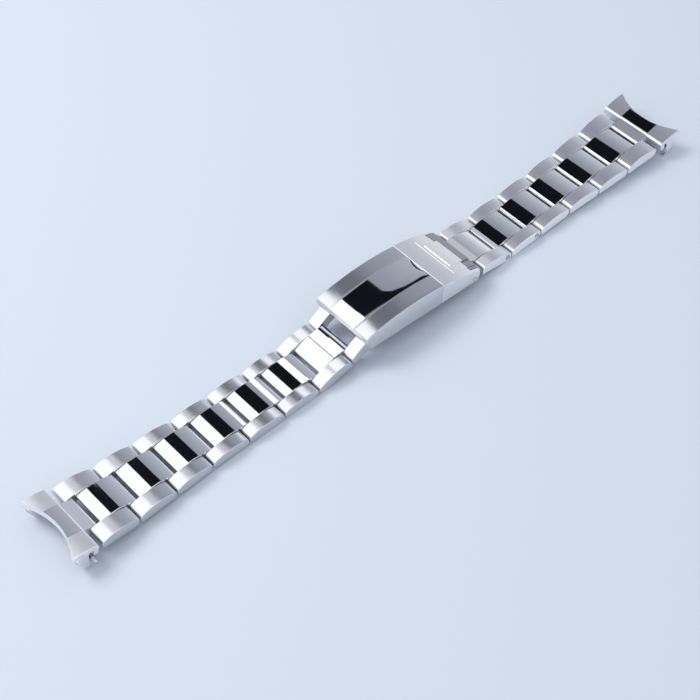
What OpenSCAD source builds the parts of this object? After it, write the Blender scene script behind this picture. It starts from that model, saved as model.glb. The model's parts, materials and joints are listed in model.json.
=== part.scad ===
/* [Links] */
// Distance from one hinge to the next
pitch = 10.15; // [9:0.05:12]
// Width of the links beside the clasp
narrow_w = 15.2; // [13:0.1:18]
// Width of the link beside the watch case
wide_w = 18; // [15.2:0.1:20]
// Links that widen towards the case, in each half
flared_links = 3; // [1:1:5]
// Width of the centre pieces
centre_w = 8.8; // [6:0.1:10]
// Thickness of a link at its crown
link_t = 3; // [2.7:0.05:3.6]
// Radius of the crown of a link, along the bracelet
crown_r = 14; // [11:0.5:30]
// Height of the hinges above the underside
hinge_h = 1.3; // [1.2:0.05:1.6]
// Gap between the outer pieces of two links
link_gap = 0.3; // [0.2:0.05:0.6]
// Radius of the nose of a centre piece
nose_r = 1.15; // [1:0.05:1.25]
// Gap between a nose and the next centre piece
nose_gap = 0.55; // [0.2:0.05:1]
// Side gap between a centre piece and the outer pieces
side_gap = 0.08; // [0.05:0.01:0.2]
// Rounding of the top ends of the outer pieces
outer_round = 1.1; // [0.5:0.05:1.3]
// Rounding of the top end of a centre piece
centre_round = 0.5; // [0.2:0.05:0.8]
// Polished bevel along the top edges
bevel = 0.14; // [0.05:0.01:0.3]

/* [Pins and screws] */
// Radius of the hinge pins of the links
hinge_pin_r = 0.55; // [0.4:0.01:0.65]
// Radius of the pins that fix a centre piece in its link
fix_pin_r = 0.5; // [0.3:0.01:0.6]
// Radial running clearance of every hinge
run_gap = 0.04; // [0.02:0.01:0.08]
// Radial gap of a pin in the pieces that hold it
hold_gap = 0.01; // [0.01:0.005:0.02]
// Metal left over the end of a blind pin hole
skin = 0.8; // [0.4:0.1:1.2]
// Radius of the screw heads
screw_head_r = 0.72; // [0.6:0.02:0.9]
// Depth of the screw heads
screw_head_h = 0.6; // [0.3:0.05:1]
// Width of the screw slots
slot_w = 0.22; // [0.1:0.02:0.4]
// Links whose outer pin is a screw, counted from the clasp on the right
screw_links = 2; // [0:1:4]

/* [End links] */
// Width of the end links, a free fit in a 19 mm lug gap
end_w = 18.8; // [16:0.1:21]
// Radius of the watch case that the end links meet
case_r = 16.6; // [15:0.1:22]
// Hinge to the front face of an end link
end_face_u = 2.5; // [2.2:0.05:3]
// Hinge to the middle of the case arc
end_arc_u = 6.3; // [5.8:0.05:7.5]
// Height of the end link's crown above the hinge
end_top = 1.3; // [1.1:0.05:1.8]
// Radius of the end link's crown
end_crown_r = 20; // [14:0.5:40]
// Thickness of the end link's shell
end_t = 1.2; // [0.8:0.05:1.6]
// Radius of the end link's nose
end_nose_r = 1; // [0.9:0.05:1.15]
// Depth of the legs below the hinge
leg_depth = 4.6; // [3.6:0.1:4.6]
// Thickness of a leg
leg_t = 1.2; // [0.8:0.1:1.6]

/* [Spring bars] */
// Radius of a spring bar's tube
tube_r = 0.8; // [0.7:0.05:0.9]
// Radius of the stems that slide in the tube
stem_r = 0.57; // [0.45:0.01:0.6]
// Radius of the tips that enter the lug holes
tip_r = 0.4; // [0.3:0.01:0.45]
// Length from tip to tip
bar_span = 21.5; // [19:0.1:23]
// Where the stems end, from the middle of the tube
stem_y = 5.2; // [4.5:0.1:6]
// Length of a tip outside its collar
tip_len = 1.3; // [1:0.1:2]
// Travel of a tip
tip_travel = 1.2; // [0.8:0.1:1.4]

/* [Clasp cover] */
// Width of the clasp cover
cover_w = 16.9; // [15:0.1:20]
// Thickness of its side walls
wall_t = 0.8; // [0.6:0.05:1.2]
// Thickness of its top
cover_t = 1.3; // [1:0.05:1.8]
// Length of the side walls to the catch
cover_len = 22.3; // [21.5:0.1:26]
// How far the top overhangs the walls at the open end
cover_lip = 1.4; // [0.8:0.1:2]
// Height at the open end
cover_low_h = 4.1; // [3.8:0.05:5]
// Height at the catch
cover_high_h = 5.95; // [5.7:0.05:6.8]
// Radius of the top along the bracelet
cover_r = 58; // [50:1:100]
// Width of the polished strip
strip_w = 7.8; // [6:0.1:9]
// Width of the groove beside the strip
groove_w = 0.42; // [0.2:0.02:0.6]
// Depth of the groove beside the strip
groove_d = 0.32; // [0.1:0.02:0.5]
// Length across of the finger scoop
scoop_w = 5.6; // [3:0.1:7]

/* [Safety catch] */
// Gap between the cover and the catch
catch_gap = 0.12; // [0.08:0.02:0.3]
// Length from the front of the catch to its pivot
catch_len = 11; // [10.5:0.1:13]
// Radius of the catch's top along the bracelet
catch_r = 75; // [60:1:120]
// Thickness of the catch's top
catch_t = 1; // [0.8:0.05:1.3]
// Radius of the end block that the catch turns round
catch_seat_r = 3.3; // [3:0.05:3.5]
// Gap round the end block
catch_seat_gap = 0.1; // [0.06:0.01:0.2]
// Distance from the front of the catch to the raised centre block
block_start = 6.1; // [5.8:0.1:7]
// Width of the raised centre block
block_w = 8.6; // [7:0.1:10]
// Height of the raised centre block
block_h = 0.42; // [0.2:0.02:0.6]
// Distance from the front of the catch to the low step
step_start = 5.4; // [4.5:0.1:5.7]
// Width of the low step beside the block
step_w = 13.2; // [11:0.1:15]
// Height of the low step
step_h = 0.12; // [0.05:0.01:0.2]
// Radius of the catch's pivot pin
catch_pin_r = 0.5; // [0.35:0.01:0.55]

/* [Folding blades] */
// Thickness of each blade
blade_t = 0.9; // [0.7:0.05:1.1]
// Width of the upper blade
upper_w = 10; // [8:0.1:11]
// Distance from the catch end of the cover to the pivot of the upper blade
blade_in = 3.7; // [3.2:0.1:5]
// Distance from the catch end of the cover to the latch bar
latch_in = 1.3; // [1:0.05:1.6]
// Distance from the pivot of the catch to the hinge of the first right link
exit_len = 2.1; // [1.9:0.05:2.4]
// Radius of the blade pins and of the latch bar
blade_pin_r = 0.5; // [0.35:0.01:0.6]
// Side clearance of the pieces inside the cover
inner_gap = 0.15; // [0.1:0.01:0.3]
// Length of the adapter from the cover's bar to its hinge
adapter_len = 6.44; // [6:0.05:8]
// Radius of the adapter's cross tube
adapter_tube_r = 1.15; // [1:0.05:1.3]

/* [Lie of the bracelet] */
// Fall of the clasp towards the catch end, in degrees
clasp_fall = 4.2; // [2:0.1:6]
// Fall of the adapter away from the clasp, in degrees
adapter_fall = 27; // [20:0.5:32]

/* [Hidden] */
// Rise of each link away from the clasp, in degrees; the first right link is worked out below
left_rise = [-12, 0.5, 0.5, 1, 2, 3, 7];
right_rise_after = [2, 2, 2, 2.5, 4.5];
end_rises = [16, 13];

sides = ["left", "right"];
link_counts = [len(left_rise), len(right_rise_after) + 1];
link_pieces = ["outers", "centre", "pins"];
end_pieces = ["end_link", "spring_bar_tube", "spring_bar_spring", "spring_bar_far_tip", "spring_bar_near_tip"];
clasp_pieces = ["clasp_cover", "cover_pins", "upper_blade", "lower_blade", "lower_blade_pins",
    "safety_catch", "adapter", "adapter_pin"];
$fn = 48;
fine = 180;
finest = 720;
past = 2;

// Link profile: u runs from the clasp-side hinge towards the case, and z is the height above it
outer_in_u = hinge_h + link_gap;
outer_out_u = pitch + hinge_h;
outer_crown_u = (outer_in_u + outer_out_u) / 2;
outer_crown_z = link_t - hinge_h - crown_r;
link_edge_u = hinge_h + link_gap / 2;
centre_out_u = pitch - nose_r - nose_gap;
centre_crown_u = (centre_out_u - nose_r) / 2;
centre_crown_z = -sqrt(pow(crown_r - nose_r, 2) - pow(centre_crown_u, 2));
centre_slot = centre_w + 2 * side_gap;
fix_pin_u = (outer_in_u + centre_out_u) / 2;

// Clasp profile: s runs along the clasp from the foot of the open end, and t is the height
inner_w = cover_w - 2 * wall_t;
tongue_w = inner_w - 2 * inner_gap;
chord_s = cover_len + cover_lip;
chord_t = cover_high_h - cover_low_h;
chord = sqrt(chord_s * chord_s + chord_t * chord_t);
chord_drop = sqrt(cover_r * cover_r - chord * chord / 4);
cover_crown_s = chord_s / 2 - cover_lip + chord_drop * chord_t / chord;
cover_crown_t = (cover_low_h + cover_high_h) / 2 - chord_drop * chord_s / chord;
bar_s = 2.3;
bar_t = 1.7;
foot_gap = 0.05;
blade_gap = 0.15;
upper_t = foot_gap + blade_t + blade_gap;
knuckle_r = 1;
h2_s = 5.2;
h2_t = foot_gap + knuckle_r + 0.1;
h1_s = cover_len - blade_in;
h1_t = upper_t + knuckle_r;
latch_s = cover_len - latch_in;
latch_t = 3.6;
catch_s = cover_len + catch_gap;
pivot_s = catch_s + catch_len;
pivot_t = 0.85;
exit_s = pivot_s + exit_len;
exit_t = 0.75;
deck_end_s = exit_s - 0.5;
block_s = catch_s + block_start;
step_s = catch_s + step_start;
joint_fall = asin((cover_len - cover_crown_s) / cover_r);
catch_crown_s = cover_crown_s + (cover_r - catch_r) * sin(joint_fall);
catch_crown_t = cover_crown_t + (cover_r - catch_r) * cos(joint_fall);
cover_bar_r = 0.6;

// Spring bar and end link places
spring_bar_u = 3.7;
spring_bar_z = -2.1;
end_block_w = end_w - 4;
end_crown_u = end_face_u + 1.8;
end_crown_z = end_top - end_crown_r;
case_u = end_arc_u + case_r;
leg_u = end_arc_u - 1.5;
end_tip_u = case_u - sqrt(case_r * case_r - end_w * end_w / 4);
end_tip_z = end_crown_z + sqrt(pow(end_crown_r - end_t, 2) - pow(end_tip_u - end_crown_u, 2));

function sum_to(list, n) = n == 0 ? 0 : list[n - 1] + sum_to(list, n - 1);
function at_x(s, t) = s * cos(clasp_fall) + t * sin(clasp_fall);
function at_z(s, t) = t * cos(clasp_fall) - s * sin(clasp_fall);

// The clasp's height puts the lowest hinge of each half hinge_h above the table
clasp_z = hinge_h - pitch * sin(left_rise[0]) + adapter_len * sin(adapter_fall) - at_z(bar_s, bar_t);
start_x = [adapter_len * cos(adapter_fall) - at_x(bar_s, bar_t), at_x(exit_s, exit_t)];
start_z = [clasp_z + at_z(bar_s, bar_t) - adapter_len * sin(adapter_fall), clasp_z + at_z(exit_s, exit_t)];
rises = [left_rise, concat([-asin((start_z[1] - hinge_h) / pitch)], right_rise_after)];
function hinge_x(h, k) = start_x[h] + pitch * sum_to([for (a = rises[h]) cos(a)], k);
function hinge_z(h, k) = start_z[h] + pitch * sum_to([for (a = rises[h]) sin(a)], k);
function reach(h) = hinge_x(h, link_counts[h]) + end_tip_u * cos(end_rises[h]) - end_tip_z * sin(end_rises[h]);
shift_x = (reach(0) - reach(1)) / 2;

// Width of link k at its clasp-side end and at its case-side end
function width_at(h, k) =
    narrow_w + (wide_w - narrow_w) * max(0, k - link_counts[h] + flared_links) / flared_links;
function link_w(h, k, u) =
    width_at(h, k - 1) + (width_at(h, k) - width_at(h, k - 1)) * (u - link_edge_u) / pitch;
function screwed(h, k) = h == 1 && k <= screw_links;

echo(clasp = [shift_x, clasp_z], reach = [reach(0), reach(1)]);
for (h = [0, 1]) echo(half = sides[h], rises = rises[h]);
for (h = [0, 1]) echo(half = sides[h], x = [for (k = [0:link_counts[h]]) hinge_x(h, k)]);
for (h = [0, 1]) echo(half = sides[h], z = [for (k = [0:link_counts[h]]) hinge_z(h, k)]);
echo(h1 = [at_x(h1_s, h1_t), at_z(h1_s, h1_t)], h2 = [at_x(h2_s, h2_t), at_z(h2_s, h2_t)]);
echo(bar = [at_x(bar_s, bar_t), at_z(bar_s, bar_t)], pivot = [at_x(pivot_s, pivot_t), at_z(pivot_s, pivot_t)]);

// Extrudes a side profile across the bracelet, centred
module across(w) {
    rotate([90, 0, 0])
        linear_extrude(w, center = true)
            children();
}

// Extrudes a side profile between two distances from the middle, on both sides
module both_sides(from_y, to_y) {
    for (side = [-1, 1])
        translate([0, side * (from_y + to_y) / 2, 0])
            across(to_y - from_y)
                children();
}

// A round bar or hole across the bracelet, centred
module rod(u, z, r, w) {
    translate([u, 0, z])
        rotate([90, 0, 0])
            cylinder(h = w, r = r, center = true);
}

// Everything outside a round of radius r where an end face meets a crown; dir is 1 or -1
module end_round(face_u, dir, crown_u, crown_z, crown, r) {
    round_u = face_u - dir * r;
    round_z = crown_z + sqrt(pow(crown - r, 2) - pow(round_u - crown_u, 2));
    lean = atan2(round_z - crown_z, round_u - crown_u);
    far = 3 * r;
    translate([round_u, round_z])
        difference() {
            polygon([[0, 0], [dir * far, 0], [dir * far, far], [far * cos(lean), far * sin(lean)]]);
            circle(r = r);
        }
}

// A ring coaxial with a crown; its section is given as distances from the axis and from the middle
module crown_ring(crown_u, crown_z, section, count) {
    for (side = [-1, 1])
        translate([crown_u, 0, crown_z])
            rotate([-90 * side, 0, 0])
                rotate_extrude($fn = count)
                    polygon(section);
}

// Bevels both top edges of a piece that is w wide
module edge_bevels(crown_u, crown_z, crown, w, count) {
    half = w / 2;
    crown_ring(crown_u, crown_z,
        [[crown - bevel, half], [crown + past, half - past - bevel],
         [crown + past, half + 1], [crown - bevel, half + 1]], count);
}

// Cuts one outer side of a link to its taper and bevels its top edge
module side_cut(h, k, side) {
    taper = atan((width_at(h, k) - width_at(h, k - 1)) / 2 / pitch);
    translate([outer_crown_u, side * link_w(h, k, outer_crown_u) / 2, outer_crown_z])
        rotate([0, 0, side * taper])
            rotate([-90 * side, 0, 0])
                rotate_extrude($fn = fine)
                    polygon([[0, 0], [crown_r - bevel, 0], [crown_r + past, -past - bevel],
                             [crown_r + past, 2], [0, 2]]);
}

module outer_profile() {
    difference() {
        intersection() {
            translate([outer_in_u, -hinge_h])
                square([outer_out_u - outer_in_u, link_t + 1]);
            translate([outer_crown_u, outer_crown_z])
                circle(r = crown_r, $fn = fine);
        }
        difference() {
            translate([pitch, -hinge_h - 1])
                square([hinge_h + 1, hinge_h + 1]);
            translate([pitch, 0])
                circle(r = hinge_h);
        }
        end_round(outer_in_u, -1, outer_crown_u, outer_crown_z, crown_r, outer_round);
        end_round(outer_out_u, 1, outer_crown_u, outer_crown_z, crown_r, outer_round);
    }
}

// Everything outside a nose of radius r on the hinge, up to the line where the crown touches it
module nose_round(r, lean) {
    far = 3 * r;
    difference() {
        polygon([[0, 0], [far * cos(lean), far * sin(lean)], [-far, far], [-far, -far], [0, -far]]);
        circle(r = r);
    }
}

module centre_profile() {
    difference() {
        intersection() {
            translate([-nose_r, -nose_r])
                square([centre_out_u + nose_r, link_t + 1]);
            translate([centre_crown_u, centre_crown_z])
                circle(r = crown_r, $fn = fine);
        }
        nose_round(nose_r, atan2(-centre_crown_z, -centre_crown_u));
        end_round(centre_out_u, 1, centre_crown_u, centre_crown_z, crown_r, centre_round);
    }
}

// The two outer pieces of link k of half h
module link_outers(h, k) {
    w_out = link_w(h, k, pitch);
    w_fix = link_w(h, k, fix_pin_u);
    color("silver")
        difference() {
            both_sides(centre_slot / 2, width_at(h, k) / 2 + 0.5)
                outer_profile();
            for (side = [-1, 1])
                side_cut(h, k, side);
            rod(fix_pin_u, 0, fix_pin_r + hold_gap, w_fix - 2 * skin);
            rod(pitch, 0, hinge_pin_r + hold_gap, w_out - 2 * skin);
            if (screwed(h, k))
                translate([0, -w_out / 2, 0])
                    rod(pitch, 0, screw_head_r + hold_gap, 2 * screw_head_h);
            if (screwed(h, k))
                translate([0, -w_out / 4, 0])
                    rod(pitch, 0, hinge_pin_r + hold_gap, w_out / 2);
        }
}

// The centre piece of a link, with the bore that turns on the hinge pin
module link_centre() {
    color("lightsteelblue")
        difference() {
            across(centre_w)
                centre_profile();
            edge_bevels(centre_crown_u, centre_crown_z, crown_r, centre_w, fine);
            rod(0, 0, hinge_pin_r + run_gap, centre_w + 1);
            rod(fix_pin_u, 0, fix_pin_r + hold_gap, centre_w + 1);
        }
}

// The fixing pin of a link and the hinge pin or screw at its case-side end
module link_pins(h, k) {
    w_out = link_w(h, k, pitch);
    w_fix = link_w(h, k, fix_pin_u);
    color("dimgray") {
        rod(fix_pin_u, 0, fix_pin_r, w_fix - 2 * skin);
        if (screwed(h, k))
            difference() {
                union() {
                    translate([0, (screw_head_h - skin) / 2, 0])
                        rod(pitch, 0, hinge_pin_r, w_out - skin - screw_head_h);
                    translate([0, (screw_head_h - w_out) / 2, 0])
                        rod(pitch, 0, screw_head_r, screw_head_h);
                }
                translate([pitch, -w_out / 2, 0])
                    rotate([0, 35, 0])
                        cube([slot_w, screw_head_h, 3 * screw_head_r], center = true);
            }
        else
            rod(pitch, 0, hinge_pin_r, w_out - 2 * skin);
    }
}

// Shell of an end link: a crowned plate with a rounded front wall
module end_shell_profile() {
    front_t = 1.3;
    difference() {
        intersection() {
            translate([end_face_u, -hinge_h])
                square([case_u - end_face_u, end_top + hinge_h + 1]);
            translate([end_crown_u, end_crown_z])
                circle(r = end_crown_r, $fn = fine);
        }
        intersection() {
            translate([end_face_u + front_t, -hinge_h - 1])
                square([case_u, end_top + hinge_h + 1]);
            translate([end_crown_u, end_crown_z])
                circle(r = end_crown_r - end_t, $fn = fine);
        }
        end_round(end_face_u, -1, end_crown_u, end_crown_z, end_crown_r, 0.8);
    }
}

// Block under the shell that carries the spring bar
module end_block_profile() {
    boss_r = tube_r + 0.55;
    translate([spring_bar_u, spring_bar_z])
        circle(r = boss_r);
    translate([end_face_u, spring_bar_z])
        square([spring_bar_u + boss_r - end_face_u, 0.2 - spring_bar_z]);
}

module end_tongue_profile() {
    circle(r = end_nose_r);
    translate([0, -end_nose_r])
        square([end_face_u + 0.6, 2 * end_nose_r]);
}

// Leg that hooks round under the lug
module leg_profile() {
    translate([leg_u, 0])
        polygon([[0, 0.3], [0.05, -1], [-0.35, 1.2 - leg_depth], [-0.85, 0.2 - leg_depth], [-0.65, -leg_depth],
                 [1.05, 0.3 - leg_depth], [2.55, -2.5], [2.7, -1.9], [2.45, 0.3]]);
}

module end_link() {
    leg_y = end_w / 2 - 0.2;
    line_d = 0.1;
    line_w = 0.12;
    color("gainsboro")
        difference() {
            union() {
                across(end_w)
                    end_shell_profile();
                across(end_block_w)
                    end_block_profile();
                across(centre_w)
                    end_tongue_profile();
                both_sides(leg_y - leg_t, leg_y)
                    leg_profile();
            }
            translate([case_u, 0, -2 * leg_depth])
                cylinder(h = 4 * leg_depth, r = case_r, $fn = fine);
            edge_bevels(end_crown_u, end_crown_z, end_crown_r, end_w, fine);
            crown_ring(end_crown_u, end_crown_z,
                [[end_crown_r - line_d, centre_w / 2 - line_w], [end_crown_r + 1, centre_w / 2 - line_w],
                 [end_crown_r + 1, centre_w / 2], [end_crown_r - line_d, centre_w / 2]], fine);
            rod(0, 0, hinge_pin_r + run_gap, centre_w + 1);
            rod(spring_bar_u, spring_bar_z, tube_r + hold_gap, end_block_w + 1);
        }
}

// Spring bar pieces, on the spring bar's own axis
module spring_bar_tube() {
    color("darkgray")
        difference() {
            rod(spring_bar_u, spring_bar_z, tube_r, end_block_w - 0.6);
            rod(spring_bar_u, spring_bar_z, stem_r + run_gap, end_block_w);
        }
}

module spring_bar_spring() {
    rest_len = 2 * (stem_y - tip_travel - 0.1);
    color("slategray")
        difference() {
            rod(spring_bar_u, spring_bar_z, stem_r - 0.02, rest_len);
            rod(spring_bar_u, spring_bar_z, stem_r - 0.2, rest_len + 1);
        }
}

module spring_bar_tip(side) {
    end_y = bar_span / 2;
    collar_y = end_y - tip_len;
    collar_t = 0.4;
    color("darkgray")
        translate([spring_bar_u, 0, spring_bar_z])
            rotate([-90 * side, 0, 0])
                rotate_extrude()
                    polygon([[0, stem_y], [stem_r, stem_y], [stem_r, collar_y - collar_t],
                             [tube_r - 0.05, collar_y - collar_t], [tube_r - 0.05, collar_y],
                             [tip_r, collar_y], [tip_r, end_y - 0.12], [tip_r - 0.12, end_y], [0, end_y]]);
}

// Adapter: two ears on a cross tube; u runs from the cover's bar towards the links
module adapter_profile() {
    ear_crown_u = (adapter_len + hinge_h) / 2 - 0.4;
    ear_crown_z = link_t - hinge_h - crown_r;
    ear_out_u = adapter_len + hinge_h;
    difference() {
        intersection() {
            translate([-hinge_h, -hinge_h])
                square([ear_out_u + hinge_h, link_t + 1]);
            translate([ear_crown_u, ear_crown_z])
                circle(r = crown_r, $fn = fine);
        }
        nose_round(hinge_h, 90);
        difference() {
            translate([adapter_len, -hinge_h - 1])
                square([hinge_h + 1, hinge_h + 1]);
            translate([adapter_len, 0])
                circle(r = hinge_h);
        }
        end_round(ear_out_u, 1, ear_crown_u, ear_crown_z, crown_r, outer_round);
    }
}

module adapter() {
    color("white")
        difference() {
            union() {
                both_sides(centre_slot / 2, tongue_w / 2)
                    adapter_profile();
                rod(0, 0, adapter_tube_r, tongue_w);
            }
            rod(0, 0, cover_bar_r + run_gap, cover_w);
            rod(adapter_len, 0, hinge_pin_r + hold_gap, tongue_w - 2 * skin);
        }
}

module adapter_pin() {
    color("dimgray")
        rod(adapter_len, 0, hinge_pin_r, tongue_w - 2 * skin);
}

// Outline of the cover from the side
module cover_profile() {
    foot_s = 0.3;
    difference() {
        intersection() {
            polygon([[foot_s, 0], [cover_len, 0], [cover_len, cover_high_h + 1],
                     [-cover_lip, cover_high_h + 1], [-cover_lip, cover_low_h - cover_t - 0.3]]);
            translate([cover_crown_s, cover_crown_t])
                circle(r = cover_r, $fn = finest);
        }
        end_round(-cover_lip, -1, cover_crown_s, cover_crown_t, cover_r, 0.5);
    }
}

// Sphere that cuts the finger scoop at the middle of the cover's catch end
module finger_scoop() {
    rise = 4;
    reach_s = 0.95;
    plan_r = (scoop_w * scoop_w / 4 + reach_s * reach_s) / (2 * reach_s);
    translate([cover_len - reach_s + plan_r, 0, cover_high_h + rise])
        sphere(r = sqrt(plan_r * plan_r + rise * rise), $fn = 96);
}

module clasp_cover() {
    seat = 0.4;
    half_strip = strip_w / 2;
    color("lightslategray")
        difference() {
            across(cover_w)
                cover_profile();
            across(inner_w)
                intersection() {
                    translate([-cover_lip - 1, -1])
                        square([cover_len + cover_lip + 2, cover_high_h + 1]);
                    translate([cover_crown_s, cover_crown_t])
                        circle(r = cover_r - cover_t, $fn = finest);
                }
            edge_bevels(cover_crown_s, cover_crown_t, cover_r, cover_w, finest);
            crown_ring(cover_crown_s, cover_crown_t,
                [[cover_r - groove_d, half_strip], [cover_r + groove_d, half_strip],
                 [cover_r + groove_d, half_strip + 2 * groove_w]], finest);
            finger_scoop();
            rod(bar_s, bar_t, cover_bar_r + hold_gap, inner_w + 2 * seat);
            rod(h1_s, h1_t, blade_pin_r + hold_gap, inner_w + 2 * seat);
            rod(latch_s, latch_t, blade_pin_r + hold_gap, inner_w + 2 * seat);
        }
}

// The bar of the adapter, the pin of the upper blade and the bar that the closed clasp snaps on
module cover_pins() {
    seat = 0.38;
    color("dimgray") {
        rod(bar_s, bar_t, cover_bar_r, inner_w + 2 * seat);
        rod(h1_s, h1_t, blade_pin_r, inner_w + 2 * seat);
        rod(latch_s, latch_t, blade_pin_r, inner_w + 2 * seat);
    }
}

// Upper blade: a plate between two knuckles
module upper_blade() {
    color("gray")
        difference() {
            across(upper_w) {
                translate([h2_s, h2_t])
                    circle(r = knuckle_r);
                translate([h1_s, h1_t])
                    circle(r = knuckle_r);
                translate([h2_s, upper_t])
                    square([h1_s - h2_s, blade_t]);
            }
            rod(h2_s, h2_t, blade_pin_r + run_gap, upper_w + 1);
            rod(h1_s, h1_t, blade_pin_r + run_gap, upper_w + 1);
        }
}

// Region under the catch's top, raised by h; the top runs on from the cover's top without a kink
module under_top(h, from_s) {
    far_s = exit_s + 4;
    low = -4;
    intersection() {
        translate([from_s, low])
            square([far_s - from_s, cover_high_h - low + past]);
        translate([catch_crown_s, catch_crown_t])
            circle(r = catch_r + h, $fn = finest);
    }
}
function top_t(s) = catch_crown_t + sqrt(pow(catch_r, 2) - pow(s - catch_crown_s, 2));
function top_fall(s) = asin((s - catch_crown_s) / catch_r);

// End block of the lower blade, which shows behind the catch
module end_block(h) {
    intersection() {
        translate([pivot_s, pivot_t])
            circle(r = catch_seat_r, $fn = fine);
        under_top(h, catch_s);
        translate([pivot_s - catch_seat_r, foot_gap])
            square([deck_end_s - pivot_s + catch_seat_r, cover_high_h]);
    }
}

module lower_blade() {
    plate_s = h2_s + knuckle_r + 0.15;
    ear_y = upper_w / 2 + 0.1;
    post_w = 5;
    post_s = 1.1;
    pocket_r = nose_r + 0.25;
    color("darkgray")
        difference() {
            union() {
                across(tongue_w)
                    translate([plate_s, foot_gap])
                        square([exit_s - plate_s, blade_t]);
                both_sides(ear_y, tongue_w / 2) {
                    translate([h2_s, h2_t])
                        circle(r = h2_t - foot_gap);
                    translate([h2_s, foot_gap])
                        square([plate_s + 1 - h2_s, h2_t - foot_gap]);
                }
                across(post_w)
                    translate([latch_s - post_s, foot_gap])
                        square([2 * post_s, latch_t + 0.3 - foot_gap]);
                across(tongue_w) {
                    end_block(0);
                    translate([exit_s, exit_t])
                        circle(r = hinge_h);
                    translate([exit_s - hinge_h, exit_t - hinge_h])
                        square([hinge_h, 2 * hinge_h]);
                }
                across(step_w)
                    end_block(step_h);
                across(block_w)
                    end_block(block_h);
            }
            across(centre_slot) {
                translate([exit_s, exit_t])
                    circle(r = pocket_r);
                translate([exit_s, exit_t - 3])
                    square([3, 3 + pocket_r]);
                translate([exit_s - pocket_r, exit_t - 3])
                    square([3, 3]);
            }
            across(post_w + 1) {
                translate([latch_s, latch_t])
                    circle(r = blade_pin_r + 0.08);
                translate([latch_s - blade_pin_r - 0.08, latch_t])
                    square([2 * blade_pin_r + 0.16, 2]);
            }
            rod(h2_s, h2_t, blade_pin_r + hold_gap, tongue_w - 0.6);
            rod(pivot_s, pivot_t, catch_pin_r + hold_gap, tongue_w + 1);
            rod(exit_s, exit_t, hinge_pin_r + hold_gap, tongue_w + 1);
        }
}

// The pin of the upper blade, the pivot of the catch and the pin of the first right link
module lower_blade_pins() {
    recess = 0.4;
    color("dimgray") {
        rod(h2_s, h2_t, blade_pin_r, tongue_w - 0.6);
        rod(pivot_s, pivot_t, catch_pin_r, cover_w - 2 * recess);
        rod(exit_s, exit_t, hinge_pin_r, tongue_w - 2 * recess);
    }
}

// Safety catch: walls and top, with a stepped and raised finger grip
module safety_catch() {
    ear_s = pivot_s + 1.2;
    ear_foot_s = pivot_s + 1;
    grip_round = 0.4;
    color("lightsteelblue")
        difference() {
            union() {
                across(cover_w)
                    intersection() {
                        under_top(0, catch_s);
                        polygon([[catch_s, 0], [ear_foot_s, 0], [ear_s + 0.3, pivot_t + 0.7], [ear_s - 0.2, cover_high_h],
                                 [catch_s + bevel, cover_high_h + 1], [catch_s + bevel, cover_high_h],
                                 [catch_s, cover_high_h - bevel]]);
                    }
                across(step_w)
                    intersection() {
                        under_top(step_h, step_s);
                        translate([step_s, 0])
                            square([pivot_s - step_s, cover_high_h]);
                    }
                across(block_w)
                    difference() {
                        intersection() {
                            under_top(block_h, block_s);
                            translate([block_s, 0])
                                square([pivot_s - block_s, cover_high_h]);
                        }
                        translate([block_s + grip_round, top_t(block_s) + block_h - grip_round])
                            rotate(-top_fall(block_s))
                                difference() {
                                    translate([-3 * grip_round, 0])
                                        square([3 * grip_round, 3 * grip_round]);
                                    circle(r = grip_round);
                                }
                    }
            }
            across(inner_w) {
                under_top(-catch_t, catch_s - 1);
                translate([pivot_s, pivot_t])
                    circle(r = catch_seat_r + catch_seat_gap, $fn = fine);
                translate([pivot_s, -1])
                    square([exit_len + 3, cover_high_h + past]);
            }
            rod(pivot_s, pivot_t, catch_pin_r + run_gap, cover_w + 1);
        }
}

// Places a piece of the clasp
module on_clasp() {
    translate([shift_x, 0, clasp_z])
        rotate([0, clasp_fall, 0])
            children();
}

// Places a piece in half h after k links, with u pointing away from the clasp
module on_half(h, k, rise) {
    translate([shift_x, 0, 0])
        mirror([1 - h, 0, 0])
            translate([hinge_x(h, k), 0, hinge_z(h, k)])
                rotate([0, -rise, 0])
                    children();
}

// Places the adapter, with u pointing from the cover's bar towards the links
module on_adapter() {
    translate([shift_x + at_x(bar_s, bar_t), 0, clasp_z + at_z(bar_s, bar_t)])
        mirror([1, 0, 0])
            rotate([0, adapter_fall, 0])
                children();
}

module link_piece(h, k, piece) {
    if (piece == "outers")
        link_outers(h, k);
    if (piece == "centre")
        link_centre();
    if (piece == "pins")
        link_pins(h, k);
}

module end_piece(piece) {
    if (piece == "end_link")
        end_link();
    if (piece == "spring_bar_tube")
        spring_bar_tube();
    if (piece == "spring_bar_spring")
        spring_bar_spring();
    if (piece == "spring_bar_far_tip")
        spring_bar_tip(1);
    if (piece == "spring_bar_near_tip")
        spring_bar_tip(-1);
}

on_clasp() clasp_cover();
on_clasp() cover_pins();
on_clasp() upper_blade();
on_clasp() lower_blade();
on_clasp() lower_blade_pins();
on_clasp() safety_catch();
on_adapter() adapter();
on_adapter() adapter_pin();
for (h = [0, 1], k = [1:link_counts[h]], piece = link_pieces)
    on_half(h, k - 1, rises[h][k - 1]) link_piece(h, k, piece);
for (h = [0, 1], piece = end_pieces)
    on_half(h, link_counts[h], end_rises[h]) end_piece(piece);
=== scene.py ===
"""Dresses the steel watch bracelet: smooth steel surfaces round its frame, and the studio it lies in."""
import json
import math

import bmesh
import bpy
import numpy as np
from mathutils import Matrix, Vector


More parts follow.
